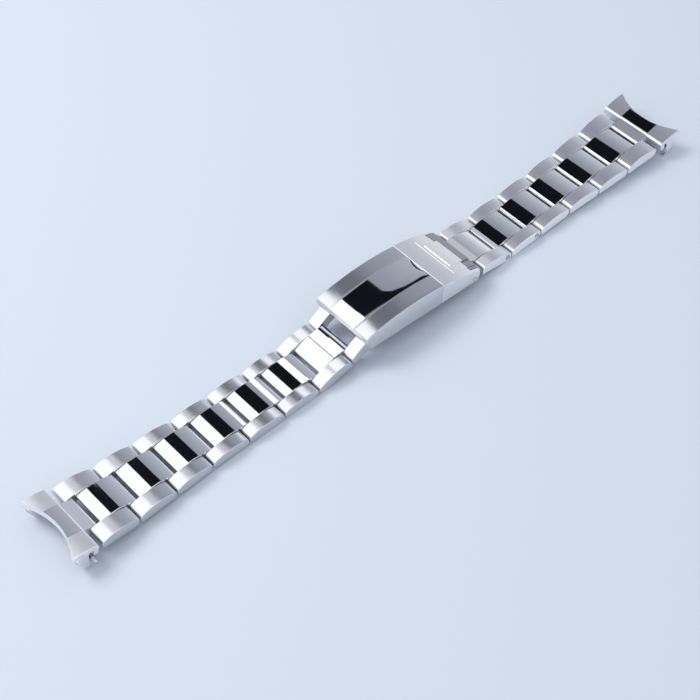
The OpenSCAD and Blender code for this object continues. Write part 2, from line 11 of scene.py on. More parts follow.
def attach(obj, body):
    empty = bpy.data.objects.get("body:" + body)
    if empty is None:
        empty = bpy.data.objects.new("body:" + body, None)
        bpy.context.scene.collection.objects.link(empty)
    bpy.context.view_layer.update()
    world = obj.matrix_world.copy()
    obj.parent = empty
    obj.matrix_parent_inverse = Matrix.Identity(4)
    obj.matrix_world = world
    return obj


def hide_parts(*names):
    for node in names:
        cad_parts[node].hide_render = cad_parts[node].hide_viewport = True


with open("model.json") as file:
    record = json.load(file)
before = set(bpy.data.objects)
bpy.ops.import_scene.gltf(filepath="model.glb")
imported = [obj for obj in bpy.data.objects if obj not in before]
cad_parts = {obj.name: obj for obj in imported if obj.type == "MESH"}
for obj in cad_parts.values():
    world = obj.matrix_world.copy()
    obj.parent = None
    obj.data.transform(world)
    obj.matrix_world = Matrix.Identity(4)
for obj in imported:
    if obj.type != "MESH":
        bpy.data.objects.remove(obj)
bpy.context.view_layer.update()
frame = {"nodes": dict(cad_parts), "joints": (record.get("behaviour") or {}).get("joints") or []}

bl_info = {
    "name": "Steel Watch Bracelet",
    "version": (1, 0, 0),
    "blender": (4, 5, 0),
    "location": "3D View > Sidebar > Bracelet",
    "description": "Makes the links, folding clasp and end links of a steel watch bracelet",
    "category": "Object",
}

MM = 0.001
HALVES = ("left", "right")
LINK_COUNTS = {"left": 7, "right": 6}
JOINTS = {joint["name"]: joint for joint in frame["joints"]}

# Sizes of the solids that the surfaces follow

NARROW_WIDTH = 15.2 * MM
WIDE_WIDTH = 18 * MM
FLARED_LINKS = 3
TAPER_START = 1.45 * MM
OUTER_INSIDE = 4.48 * MM
CENTRE_HALF_WIDTH = 4.4 * MM
ADAPTER_BAR = np.array([2.3, 0, 1.7]) * MM
CATCH_PIVOT = np.array([33.42, 0, 0.85]) * MM
COVER_KINK = 2.5 * MM
OPEN_END_SLANT = 1.7 * MM
SLANT_REACH = 6 * MM
SHELL_START = 2.9 * MM
SHELL_POLISHED = 4.45 * MM
LEG_TOP = 0.4 * MM
CLASP_EDGE = 0.04 * MM
END_LINK_EDGE = 0.06 * MM

# What the cards shine with

WHITE = (1.35, 1.35, 1.38)
GREY = (0.62, 0.63, 0.66)
BLACK = (0.006, 0.007, 0.01)


class BraceletLinks(bpy.types.PropertyGroup):
    """Sizes of the links."""
    crown_radius: bpy.props.FloatProperty(
        name="Crown radius", description="Radius of a link's top along the bracelet",
        default=14 * MM, unit="LENGTH")
    thickness: bpy.props.FloatProperty(
        name="Thickness", description="Thickness of a link at its crown", default=3 * MM, unit="LENGTH")
    hinge_height: bpy.props.FloatProperty(
        name="Hinge height", description="Height of the hinges above the underside",
        default=1.3 * MM, unit="LENGTH")
    link_gap: bpy.props.FloatProperty(
        name="Link gap", description="Gap between the outer pieces of two links",
        default=0.3 * MM, unit="LENGTH")
    nose_radius: bpy.props.FloatProperty(
        name="Nose radius", description="Radius of the nose of a centre piece",
        default=1.15 * MM, unit="LENGTH")
    nose_gap: bpy.props.FloatProperty(
        name="Nose gap", description="Gap between a nose and the next centre piece",
        default=0.55 * MM, unit="LENGTH")
    outer_round: bpy.props.FloatProperty(
        name="Outer end round", description="Rounding of the top ends of the outer pieces",
        default=1.1 * MM, unit="LENGTH")
    centre_round: bpy.props.FloatProperty(
        name="Centre end round", description="Rounding of the top end of a centre piece",
        default=0.5 * MM, unit="LENGTH")
    side_round: bpy.props.FloatProperty(
        name="Side edge round", description="Rounding of the long edges of the links",
        default=0.13 * MM, unit="LENGTH")
    foot_round: bpy.props.FloatProperty(
        name="Foot round", description="Rounding of the lower corners", default=0.1 * MM, unit="LENGTH")


class BraceletClasp(bpy.types.PropertyGroup):
    """Sizes of the clasp cover, along the clasp from its foot and up from its underside."""
    top_radius: bpy.props.FloatProperty(
        name="Top radius", description="Radius of the cover's top along the bracelet",
        default=58 * MM, unit="LENGTH")
    length: bpy.props.FloatProperty(
        name="Length", description="Length of the side walls to the catch", default=22.3 * MM, unit="LENGTH")
    lip: bpy.props.FloatProperty(
        name="Lip", description="Overhang of the top at the open end", default=1.4 * MM, unit="LENGTH")
    low_height: bpy.props.FloatProperty(
        name="Low height", description="Height at the open end", default=4.1 * MM, unit="LENGTH")
    high_height: bpy.props.FloatProperty(
        name="High height", description="Height at the catch", default=5.95 * MM, unit="LENGTH")
    wall: bpy.props.FloatProperty(
        name="Wall", description="Thickness of the side walls", default=0.8 * MM, unit="LENGTH")
    roof: bpy.props.FloatProperty(
        name="Roof", description="Thickness of the top", default=1.3 * MM, unit="LENGTH")
    strip_width: bpy.props.FloatProperty(
        name="Strip width", description="Width of the polished strip", default=7.8 * MM, unit="LENGTH")
    groove_width: bpy.props.FloatProperty(
        name="Groove width", description="Width of the grooves beside the strip",
        default=0.42 * MM, unit="LENGTH")
    groove_depth: bpy.props.FloatProperty(
        name="Groove depth", description="Depth of the grooves beside the strip",
        default=0.32 * MM, unit="LENGTH")
    scoop_width: bpy.props.FloatProperty(
        name="Scoop width", description="Width of the finger scoop", default=5.6 * MM, unit="LENGTH")
    scoop_reach: bpy.props.FloatProperty(
        name="Scoop reach", description="How far the scoop reaches into the cover",
        default=0.95 * MM, unit="LENGTH")
    scoop_rise: bpy.props.FloatProperty(
        name="Scoop rise", description="Height of the scoop's centre over the catch end",
        default=4 * MM, unit="LENGTH")
    width: bpy.props.FloatProperty(
        name="Width", description="Width of the cover", default=16.9 * MM, unit="LENGTH")
    edge_round: bpy.props.FloatProperty(
        name="Edge round", description="Rounding of the long edges", default=0.18 * MM, unit="LENGTH")
    lip_round: bpy.props.FloatProperty(
        name="Lip round", description="Rounding of the lip", default=0.5 * MM, unit="LENGTH")
    strip_flat: bpy.props.FloatProperty(
        name="Strip flat", description="Where the strip's near side starts to roll down, from the middle",
        default=0.8 * MM, unit="LENGTH")
    strip_roll: bpy.props.FloatProperty(
        name="Strip roll", description="Radius of that roll", default=32 * MM, unit="LENGTH")


class BraceletFinish(bpy.types.PropertyGroup):
    """Colours and polish of the steel."""
    steel: bpy.props.FloatVectorProperty(
        name="Steel", description="Colour of the polished steel", subtype="COLOR", size=3,
        min=0, max=1, default=(0.80, 0.81, 0.84))
    brushed: bpy.props.FloatVectorProperty(
        name="Brushed steel", description="Colour of the brushed steel", subtype="COLOR", size=3,
        min=0, max=1, default=(0.74, 0.75, 0.79))
    # The right half's outer pieces take this pale colour too, as painted light: a lighter copy of the brushed
    # steel.
    pale: bpy.props.FloatVectorProperty(
        name="Pale steel", description="Colour of the pale satin steel of the catch", subtype="COLOR", size=3,
        min=0, max=1, default=(0.93, 0.94, 0.97))
    # Painted shade: this darker steel colour goes on the blades and on the lower parts of the end links, and
    # stands for the shade they lie in under the cover and the shells.
    dark: bpy.props.FloatVectorProperty(
        name="Dark steel", description="Colour of the unpolished steel of the blades and legs",
        subtype="COLOR", size=3, min=0, max=1, default=(0.36, 0.36, 0.41))
    pins: bpy.props.FloatVectorProperty(
        name="Pin steel", description="Colour of the pins and spring bars", subtype="COLOR", size=3,
        min=0, max=1, default=(0.6, 0.6, 0.64))
    polish: bpy.props.FloatProperty(
        name="Polish", description="Roughness of the polished steel",
        subtype="FACTOR", min=0, max=1, default=0.05)
    brush: bpy.props.FloatProperty(
        name="Brush", description="Roughness of the brushed steel",
        subtype="FACTOR", min=0, max=1, default=0.26)


class BraceletStudio(bpy.types.PropertyGroup):
    """The floor, the cards that the steel reflects, and the camera."""
    floor: bpy.props.FloatVectorProperty(
        name="Floor", description="Colour of the floor", subtype="COLOR", size=3,
        min=0, max=1, default=(0.72, 0.77, 0.84))
    card_height: bpy.props.FloatProperty(
        name="Card height", description="Height of the white card", default=0.3, unit="LENGTH")
    card_edge: bpy.props.FloatProperty(
        name="Card edge", description="Where the white card ends along the bracelet",
        default=-0.012, unit="LENGTH")
    wing_height: bpy.props.FloatProperty(
        name="Wing height", description="Height of the two white wings", default=0.14, unit="LENGTH")
    wing_edge: bpy.props.FloatProperty(
        name="Wing edge", description="Where the wings end along the bracelet", default=0.0, unit="LENGTH")
    slot_low: bpy.props.FloatProperty(
        name="Slot start", description="Where the slot between the wings starts",
        default=0.055, unit="LENGTH")
    slot_high: bpy.props.FloatProperty(
        name="Slot end", description="Where the slot between the wings ends", default=0.1, unit="LENGTH")
    black_height: bpy.props.FloatProperty(
        name="Black height", description="Height of the black card", default=1.0, unit="LENGTH")
    lamp_energy: bpy.props.FloatProperty(
        name="Lamp energy", description="Power of the soft lamp", subtype="POWER", default=2.8)
    focal_length: bpy.props.FloatProperty(
        name="Focal length", description="Focal length of the lens, in millimetres", default=80.744)
    distance: bpy.props.FloatProperty(
        name="Distance", description="Distance from the camera to its target", default=0.35478, unit="LENGTH")
    azimuth: bpy.props.FloatProperty(
        name="Azimuth", description="Direction in which the camera looks, from the X axis",
        subtype="ANGLE", default=math.radians(48.042))
    elevation: bpy.props.FloatProperty(
        name="Elevation", description="Height of the camera above the horizon",
        subtype="ANGLE", default=math.radians(50.690))
    roll: bpy.props.FloatProperty(
        name="Roll", description="Turn of the camera about its own axis",
        subtype="ANGLE", default=math.radians(0.4436))
    target: bpy.props.FloatVectorProperty(
        name="Target", description="Point that the camera looks at", subtype="TRANSLATION", size=3,
        default=(-14.001 * MM, -4.711 * MM, 3.590 * MM))


GROUPS = {
    "bracelet_links": BraceletLinks,
    "bracelet_clasp": BraceletClasp,
    "bracelet_finish": BraceletFinish,
    "bracelet_studio": BraceletStudio,
}


# Places in the frame

def place_between(start, end, mirrored):
    """A flat frame across the bracelet: its origin and the world directions of its first and second axis."""
    start, end = np.asarray(start, float), np.asarray(end, float)
    along = (end - start) / np.linalg.norm(end - start)
    up = np.array([along[2], 0, -along[0]]) if mirrored else np.array([-along[2], 0, along[0]])
    return start, along, up


def hinge(half, k):
    """Place of hinge k of a half, counted from the clasp."""
    name = f"{half}_link_{k + 1}_turn" if k < LINK_COUNTS[half] else f"{half}_end_turn"
    return JOINTS[name]["pos_m"]


def link_pitch():
    """Distance between the two hinges of a link."""
    return np.linalg.norm(np.subtract(hinge("left", 1), hinge("left", 0)))


def link_place(half, k):
    """Frame of link k: from its clasp-side hinge towards the next one, and up."""
    return place_between(hinge(half, k - 1), hinge(half, k), half == "left")


def clasp_place():
    """Frame of the clasp, turned so that the adapter's bar and the catch's pivot lie where the joints are."""
    bar, pivot = ADAPTER_BAR, CATCH_PIVOT
    bar_place = np.array(JOINTS["adapter_turn"]["pos_m"])
    span = np.array(JOINTS["catch_lift"]["pos_m"]) - bar_place
    fall = math.atan2(-span[2], span[0]) - math.atan2(bar[2] - pivot[2], pivot[0] - bar[0])
    along = np.array([math.cos(fall), 0, -math.sin(fall)])
    up = np.array([math.sin(fall), 0, math.cos(fall)])
    origin = bar_place - bar[0] * along - bar[2] * up
    return origin, along, up


# Surfaces, worked out as whole arrays

def arc_chain(*arcs):
    """A closed outline from arcs joined by straight runs, anticlockwise, with its outward directions.

    Each arc is (centre along, centre up, radius, first angle, last angle, steps) and gives the points
    centre + radius (cos a, sin a), where the outward direction is (cos a, sin a).
    """
    points, outward = [], []
    for along, up, radius, first, last, steps in arcs:
        angle = np.radians(np.linspace(first, last, steps + 1))
        ray = np.column_stack((np.cos(angle), np.sin(angle)))
        points.append(np.array([along, up]) + radius * ray)
        outward.append(ray)
    return np.concatenate(points), np.concatenate(outward)


def end_arc(face, direction, crown, radius):
    """Round between an end face and a crown: its centre, and its angle where it meets the crown.

    The centre lies one radius inside the face and one radius inside the crown.
    """
    crown_along, crown_up, crown_radius = crown
    along = face - direction * radius
    up = crown_up + math.sqrt((crown_radius - radius) ** 2 - (along - crown_along) ** 2)
    return along, up, math.degrees(math.atan2(up - crown_up, along - crown_along))


def across_bar(outline, low_side, high_side, edge, steps=4):
    """An outline carried across the bracelet, with rounded edges at both ends.

    Ring j lies sin(a) of the edge radius inside the full outline and 1 - cos(a) from its end, where a
    runs through a quarter turn. Each end is closed by one flat face.
    """
    points, outward = outline
    turn = np.radians(np.linspace(0, 90, steps + 1))
    inset = edge * (1 - np.sin(turn))
    depth = edge * (1 - np.cos(turn))
    rings, normals = [], []
    for side, limit in ((-1, low_side), (1, high_side)):
        order = slice(None) if side < 0 else slice(None, None, -1)
        ring = points[None] - inset[order, None, None] * outward[None]
        y = limit(ring[..., 0]) - side * depth[order, None]
        lean = np.sin(turn[order])[:, None, None]
        facing = np.cos(turn[order])[:, None, None]
        rings.append(np.stack((ring[..., 0], y, ring[..., 1]), -1))
        flat = lean * outward[None]
        sideways = np.broadcast_to(side * facing[..., 0], y.shape)
        normals.append(np.stack((flat[..., 0], sideways, flat[..., 1]), -1))
    grid = np.concatenate(rings)
    normal = np.concatenate(normals)
    along, around = grid.shape[:2]
    return grid.reshape(-1, 3), normal.reshape(-1, 3), tube_faces(along, around), [
        np.arange(around), np.arange(around)[::-1] + (along - 1) * around]


def tube_faces(along, around):
    """Four-sided faces between the rings of a closed tube, facing out of an anticlockwise outline."""
    j, i = np.meshgrid(np.arange(along - 1), np.arange(around), indexing="ij")
    k = (i + 1) % around
    ring, following = j * around, (j + 1) * around
    return np.stack((ring + i, following + i, following + k, ring + k), -1).reshape(-1, 4)


def in_place(place, points, normals):
    """Turns points (along, across, up) of a flat frame into the row frame."""
    origin, along, up = place
    basis = np.array([along, [0, 1, 0], up])
    return origin + points @ basis, normals @ basis


def steel_piece(name, place, shells, mirrored=False):
    """One mesh object from closed shells of (points, normals, quads, end faces), with its own UV map."""
    points, normals, local, faces, start = [], [], [], [], 0
    for shell_points, shell_normals, quads, caps in shells:
        world, facing = in_place(place, shell_points, shell_normals)
        order = slice(None, None, -1) if mirrored else slice(None)
        faces += (quads[:, order] + start).tolist() + [(cap[order] + start).tolist() for cap in caps]
        points.append(world)
        normals.append(facing)
        local.append(shell_points)
        start += len(shell_points)
    mesh = bpy.data.meshes.new(name)
    mesh.from_pydata(np.concatenate(points).tolist(), [], faces)
    mesh.polygons.foreach_set("use_smooth", np.ones(len(mesh.polygons), bool))
    map_uv(mesh, np.concatenate(local))
    mesh.update()
    mesh.normals_split_custom_set_from_vertices(np.concatenate(normals))
    return add_object(name, mesh)


def map_uv(mesh, place):
    """Maps u across the bracelet and v along it, so that brushed steel knows which way its lines run.

    Each place is (along, across, up), and 10 mm are one unit: u = across + up, v = along + up / 2.
    """
    corner = np.empty(len(mesh.loops), np.int32)
    mesh.loops.foreach_get("vertex_index", corner)
    spot = place[corner] / (10 * MM)
    uv = np.column_stack((spot[:, 1] + spot[:, 2], spot[:, 0] + 0.5 * spot[:, 2]))
    layer = mesh.uv_layers.get("UVMap") or mesh.uv_layers.new(name="UVMap")
    layer.data.foreach_set("uv", uv.ravel())


def add_object(name, data):
    """A new object in the scene."""
    obj = bpy.data.objects.new(name, data)
    bpy.context.scene.collection.objects.link(obj)
    return obj


def dress(piece, finish, body, slot, *nodes):
    """Gives a piece its finish, lets it ride on its body, and hides the nodes it stands for."""
    piece.data.materials.clear()
    piece.data.materials.append(finish)
    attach(piece, body)
    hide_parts(*nodes)


# Steel finishes

def fresh_tree(material, kind):
    """A material's node tree, emptied, with one shader of a kind that is linked to the output."""
    material.use_nodes = True
    tree = material.node_tree
    tree.nodes.clear()
    shader = tree.nodes.new(kind)
    output = tree.nodes.new("ShaderNodeOutputMaterial")
    tree.links.new(shader.outputs[0], output.inputs["Surface"])
    return tree, shader


def stretched_noise(tree, scale):
    """Noise on Object coordinates, stretched by a different scale along each axis."""
    place = tree.nodes.new("ShaderNodeTexCoord")
    mapping = tree.nodes.new("ShaderNodeMapping")
    noise = tree.nodes.new("ShaderNodeTexNoise")
    mapping.inputs["Scale"].default_value = scale
    noise.inputs["Scale"].default_value = 1
    noise.inputs["Detail"].default_value = 3
    tree.links.new(place.outputs["Object"], mapping.inputs["Vector"])
    tree.links.new(mapping.outputs["Vector"], noise.inputs["Vector"])
    return noise.outputs["Fac"]


def spread(tree, value, low, high):
    """Maps a value so that low becomes 0 and high becomes 1."""
    node = tree.nodes.new("ShaderNodeMapRange")
    node.inputs["From Min"].default_value = low
    node.inputs["From Max"].default_value = high
    node.inputs["To Min"].default_value = 0
    node.inputs["To Max"].default_value = 1
    tree.links.new(value, node.inputs["Value"])
    return node.outputs["Result"]


def tint(tree, value, dark, light):
    """Colour that runs from dark to light with a value."""
    node = tree.nodes.new("ShaderNodeMix")
    node.data_type = "RGBA"
    node.inputs[6].default_value = (*dark, 1)
    node.inputs[7].default_value = (*light, 1)
    tree.links.new(value, node.inputs[0])
    return node.outputs[2]


def steel(name, colour, roughness, lines, contrast, anisotropy=0.0):
    """Steel with fine lines of a slightly darker shade along the axis with the smallest scale in lines.

    Brushed steel spreads what it reflects across its lines: the first direction of the UV map.
    """
    material = bpy.data.materials.get(name) or bpy.data.materials.new(name)
    tree, shader = fresh_tree(material, "ShaderNodeBsdfPrincipled")
    shader.inputs["Metallic"].default_value = 1
    shader.inputs["Roughness"].default_value = roughness
    shader.inputs["Anisotropic"].default_value = anisotropy
    if anisotropy:
        across = tree.nodes.new("ShaderNodeTangent")
        across.direction_type = "UV_MAP"
        across.uv_map = "UVMap"
        tree.links.new(across.outputs["Tangent"], shader.inputs["Tangent"])
    fine = stretched_noise(tree, lines)
    dark = tuple((1 - contrast) * c for c in colour)
    tree.links.new(tint(tree, spread(tree, fine, 0.3, 0.7), dark, colour), shader.inputs["Base Color"])
    return material


def finishes():
    """The steel finishes of the bracelet, by name: among them a dark steel that is painted shade, and a paler
    copy of the brushed steel that is painted light on the right half.
    """
    setting = bpy.context.scene.bracelet_finish
    along = (90, 5200, 5200)
    across = (5200, 90, 5200)
    plain = (1400, 1400, 1400)
    return {
        "brushed": steel("brushed_steel", setting.brushed, setting.brush, along, 0.05, 0.8),
        "polished": steel("polished_steel", setting.steel, setting.polish, plain, 0.01),
        # Painted light: a paler, rougher copy of the brushed steel for the right half, lighter because of how
        # the light falls on it; the right end link takes it too.
        "soft": steel("right_side_lit_steel", setting.pale, 0.42, along, 0.05, 0.8),
        # Painted shade: the dark steel darkens the end links' lower parts and the blades for the shade under
        # the shells and the cover.
        "dark": steel("painted_shade_steel", setting.dark, 0.35, along, 0.04),
        "blades": steel("blade_painted_shade_steel", setting.dark, 0.3, along, 0.04),
        "pale": steel("pale_steel", setting.pale, 0.3, along, 0.03, 0.5),
        "pins": steel("pin_steel", setting.pins, 0.2, across, 0.06),
        "spring": steel("spring_steel", setting.brushed, 0.3, across, 0.08),
    }


# Link pieces

def outer_outline(setting):
    """Side outline of the outer pieces of a link: flat foot, quarter round at the hinge, crowned top."""
    low, pitch = -setting.hinge_height, link_pitch()
    start = setting.hinge_height + setting.link_gap
    end = pitch + setting.hinge_height
    crown = ((start + end) / 2, setting.thickness - setting.hinge_height - setting.crown_radius,
             setting.crown_radius)
    right = end_arc(end, 1, crown, setting.outer_round)
    left = end_arc(start, -1, crown, setting.outer_round)
    foot = setting.foot_round
    return arc_chain(
        (start + foot, low + foot, foot, 180, 270, 3),
        (pitch, 0, setting.hinge_height, 270, 360, 12),
        (right[0], right[1], setting.outer_round, 0, right[2], 8),
        (crown[0], crown[1], crown[2], right[2], left[2], 48),
        (left[0], left[1], setting.outer_round, left[2], 180, 8),
    )


def centre_outline(setting):
    """Side outline of a centre piece: nose round the hinge, crowned top, rounded end."""
    nose = setting.nose_radius
    end = link_pitch() - nose - setting.nose_gap
    along = (end - nose) / 2
    crown = (along, -math.sqrt((setting.crown_radius - nose) ** 2 - along ** 2), setting.crown_radius)
    right = end_arc(end, 1, crown, setting.centre_round)
    lean = math.degrees(math.atan2(-crown[1], -crown[0]))
    foot = setting.foot_round
    return arc_chain(
        (0, 0, nose, lean, 270, 24),
        (end - foot, foot - nose, foot, 270, 360, 3),
        (right[0], right[1], setting.centre_round, 0, right[2], 8),
        (crown[0], crown[1], crown[2], right[2], lean, 48),
    )


def side_slope(half, k):
    """Half width of link k as a straight line along it: the links next to the case widen in equal steps."""
    pitch = link_pitch()
    step = (WIDE_WIDTH - NARROW_WIDTH) / FLARED_LINKS
    before = NARROW_WIDTH + step * max(0, k - 1 - LINK_COUNTS[half] + FLARED_LINKS)
    after = NARROW_WIDTH + step * max(0, k - LINK_COUNTS[half] + FLARED_LINKS)
    return lambda along: (before + (after - before) * (along - TAPER_START) / pitch) / 2


def make_link_outers(half, k, finish, slot):
    """The two outer pieces of a link, between the slot for the centre piece and the tapering side."""
    setting = bpy.context.scene.bracelet_links
    inner = OUTER_INSIDE
    side = side_slope(half, k)
    outline = outer_outline(setting)
    edge = setting.side_round
    shells = [
        across_bar(outline, lambda along: np.full_like(along, inner), side, edge),
        across_bar(outline, lambda along: -side(along), lambda along: np.full_like(along, -inner), edge),
    ]
    piece = steel_piece(f"{half}_{k}_outer_pieces", link_place(half, k), shells, half == "left")
    dress(piece, finish, f"{half}_link_{k}", slot, f"{half}_{k}_outers")


def make_link_centre(half, k, finish, slot):
    """The centre piece of a link."""
    setting = bpy.context.scene.bracelet_links
    reach = CENTRE_HALF_WIDTH
    shell = across_bar(centre_outline(setting), lambda along: np.full_like(along, -reach),
                       lambda along: np.full_like(along, reach), setting.side_round)
    piece = steel_piece(f"{half}_{k}_centre_piece", link_place(half, k), [shell], half == "left")
    dress(piece, finish, f"{half}_link_{k}", slot, f"{half}_{k}_centre")


# Clasp cover

def cover_crown(setting):
    """Centre and radius of the cover's top: the circle of the top radius through its heights at both ends."""
    length = setting.length + setting.lip
    rise = setting.high_height - setting.low_height
    chord = math.hypot(length, rise)
    drop = math.sqrt(setting.top_radius ** 2 - chord ** 2 / 4)
    along = length / 2 - setting.lip + drop * rise / chord
    return along, (setting.low_height + setting.high_height) / 2 - drop * length / chord, setting.top_radius


def cover_section(setting):
    """Half of the cover's section, from a foot to the middle of the top, outside and inside.

    Each row is (y, share, offset, inner y, inner share): the height is share * top + offset outside, and
    kink + inner share * (roof - kink) inside. The walls bend back at the height kink.
    """
    half, wall, edge = setting.width / 2, setting.wall, setting.edge_round
    inner = half - wall
    strip = setting.strip_width / 2
    groove = strip + setting.groove_width
    turn = np.radians(np.linspace(0, 90, 6))
    rows = [(half, 0, 0, inner, 0), (half, 0, COVER_KINK, inner, 0)]
    for step, angle in enumerate(turn):
        rows.append((half - edge + edge * math.cos(angle), 1, edge * (math.sin(angle) - 1), inner,
                     (step + 1) / len(turn)))
    wall_rows = len(rows)
    border = np.linspace(half - edge, groove, 11)[1:]
    rows += [(y, 1, 0, 0, 1) for y in border]
    middle = (strip + groove) / 2
    rows += [(middle, 1, -setting.groove_depth / 2, 0, 1), (strip, 1, -setting.groove_depth, 0, 1)]
    rows = np.array(rows, float)
    rows[wall_rows:, 3] = np.linspace(inner, strip, len(rows) - wall_rows + 1)[1:]
    strip_rows = 40
    y = np.linspace(strip, 0, strip_rows)
    top = np.column_stack((y, np.ones(strip_rows), np.zeros(strip_rows), y, np.ones(strip_rows)))
    top[0, 3] -= 0.02 * MM
    return np.concatenate((rows, top))


def whole_section(setting):
    """The section from foot to foot. On the near side the strip rolls down from where it is flat.

    The roll is a parabola: it falls by the square of the distance over twice the roll's radius.
    """
    half = cover_section(setting)
    other = half[-2::-1] * np.array([-1, 1, 1, -1, 1])
    rolled = (other[:, 0] >= -setting.strip_width / 2) & (other[:, 2] == 0)
    other[rolled, 2] = -np.clip(-other[rolled, 0] - setting.strip_flat, 0, 1) ** 2 / (2 * setting.strip_roll)
    return np.concatenate((half, other))


def cover_stations(setting):
    """Places along the cover, with the height of its top and of the underside of its roof at each.

    The top follows top(s) = up + sqrt(R^2 - (s - along)^2), and starts with a quarter round at the lip.
    The places lie closer together at the scoop.
    """
    along, up, radius = cover_crown(setting)
    lip = setting.lip_round
    centre = lip - setting.lip
    centre_up = up + math.sqrt((radius - lip) ** 2 - (centre - along) ** 2)
    meet = math.atan2(centre_up - up, centre - along)
    angle = np.linspace(math.pi, meet, 9)
    scoop_start = setting.length - 1.6 * MM
    even = np.arange(centre + 0.4 * MM, scoop_start, 0.4 * MM)
    fine = np.linspace(scoop_start, setting.length, 21)
    plain = np.concatenate((even, fine))
    s = np.concatenate((centre + lip * np.cos(angle), plain))
    top = np.concatenate((centre_up + lip * np.sin(angle), up + np.sqrt(radius ** 2 - (plain - along) ** 2)))
    roof = up + np.sqrt((radius - setting.roof) ** 2 - (s - along) ** 2)
    return s, top, roof


def points_at(s, y, z):
    """Points (along, across, up) of a grid from its places along, its places across and its heights."""
    points = np.empty((len(s), len(y), 3))
    points[..., 0] = s[:, None]
    points[..., 1] = y
    points[..., 2] = z
    return points


def scoop_out(setting, points, share):
    """Lowers the points of the top that lie above the scoop: a part of a sphere that reaches into the end."""
    radius = (setting.scoop_width ** 2 / 4 + setting.scoop_reach ** 2) / (2 * setting.scoop_reach)
    middle = setting.length - setting.scoop_reach + radius
    square = radius ** 2 + setting.scoop_rise ** 2 - (points[..., 0] - middle) ** 2 - points[..., 1] ** 2
    bowl = setting.high_height + setting.scoop_rise - np.sqrt(np.maximum(square, 0))
    points[..., 2] = np.where(share > 0, np.minimum(points[..., 2], bowl), points[..., 2])


def cover_grid(setting):
    """Outside and inside points of the cover as (station, around, along-across-up), from foot to foot.

    The feet start further in than the lip, so that the open end slants.
    """
    s, top, roof = cover_stations(setting)
    y, share, offset, inner_y, inner_share = whole_section(setting).T
    outside = points_at(s, y, share * top[:, None] + offset)
    inside = points_at(s, inner_y, COVER_KINK + inner_share * (roof[:, None] - COVER_KINK))
    slant = OPEN_END_SLANT * np.clip(1 - (s + setting.lip) / SLANT_REACH, 0, 1)
    for grid in (outside, inside):
        for foot in (0, -1):
            grid[:, foot, 0] += slant
            grid[:, foot, 2] = 0
    scoop_out(setting, outside, share)
    return outside, inside


def cover_faces(stations, around):
    """Faces of the cover: outside, inside, both feet and both ends, and which of them are on the outside."""
    row, column = np.meshgrid(np.arange(stations - 1), np.arange(around - 1), indexing="ij")
    corner = (row * around + column).ravel()
    outer = np.column_stack((corner, corner + 1, corner + around + 1, corner + around))
    inner = outer[:, ::-1] + stations * around
    walls = []
    for a in range(around - 1):
        walls.append((a + 1, a, a + stations * around, a + 1 + stations * around))
        b = a + (stations - 1) * around
        walls.append((b, b + 1, b + 1 + stations * around, b + stations * around))
    for r in range(stations - 1):
        a = r * around
        walls.append((a, a + around, a + around + stations * around, a + stations * around))
        b = a + around - 1
        walls.append((b + around, b, b + stations * around, b + around + stations * around))
    return np.concatenate((outer, inner, np.array(walls))), len(outer)


def make_cover(finish, slot):
    """The clasp cover: its section carried under the arched top, with its strip polished."""
    setting = bpy.context.scene.bracelet_clasp
    outside, inside = cover_grid(setting)
    stations, around = outside.shape[:2]
    local = np.concatenate((outside.reshape(-1, 3), inside.reshape(-1, 3)))
    faces, outer_count = cover_faces(stations, around)
    world = in_place(clasp_place(), local, local)[0]
    piece = solid_from(world, faces.tolist(), "clasp_cover_piece")
    dress(piece, finish["brushed"], "cover", slot, "clasp_cover")
    piece.data.materials.append(finish["polished"])
    middle = np.abs(local[faces, 1].mean(1)) < setting.strip_width / 2
    on_strip = middle & (np.arange(len(faces)) < outer_count)
    piece.data.polygons.foreach_set("material_index", on_strip.astype(np.int32))
    piece.data.update()


def solid_from(points, faces, name):
    """A closed mesh object with outward faces, sharp corners, smooth curves and its own UV map."""
    mesh = bpy.data.meshes.new(name)
    mesh.from_pydata(points.tolist(), [], faces)
    finish_mesh(mesh, 30)
    return add_object(name, mesh)


def finish_mesh(mesh, crease):
    """Turns faces outward, keeps corners above the crease angle sharp, and gives the mesh its UV map."""
    work = bmesh.new()
    work.from_mesh(mesh)
    bmesh.ops.recalc_face_normals(work, faces=work.faces)
    work.to_mesh(mesh)
    work.free()
    mesh.polygons.foreach_set("use_smooth", np.ones(len(mesh.polygons), bool))
    mesh.set_sharp_from_angle(angle=math.radians(crease))
    place = np.empty(len(mesh.vertices) * 3)
    mesh.vertices.foreach_get("co", place)
    map_uv(mesh, place.reshape(-1, 3))
    mesh.update()


# Refined copies of frame nodes

def refined_copy(node, name, edge):
    """A merged copy of a node with joined flats, fine rounded edges and smooth curves."""
    crease = 28
    source = frame["nodes"][node]
    mesh = source.data.copy()
    mesh.name = name
    work = bmesh.new()
    work.from_mesh(mesh)
    bmesh.ops.remove_doubles(work, verts=work.verts, dist=0.002 * MM)
    bmesh.ops.dissolve_limit(work, angle_limit=math.radians(0.5), verts=work.verts, edges=work.edges)
    work.to_mesh(mesh)
    work.free()
    if mesh.attributes.get("custom_normal"):
        mesh.attributes.remove(mesh.attributes["custom_normal"])
    finish_mesh(mesh, 40)
    piece = add_object(name, mesh)
    bevel = piece.modifiers.new("edge", "BEVEL")
    bevel.width = edge
    bevel.segments = 2
    bevel.limit_method = "ANGLE"
    bevel.angle_limit = math.radians(crease)
    bevel.use_clamp_overlap = True
    bevel.harden_normals = False
    weighted = piece.modifiers.new("flats", "WEIGHTED_NORMAL")
    weighted.keep_sharp = True
    return piece


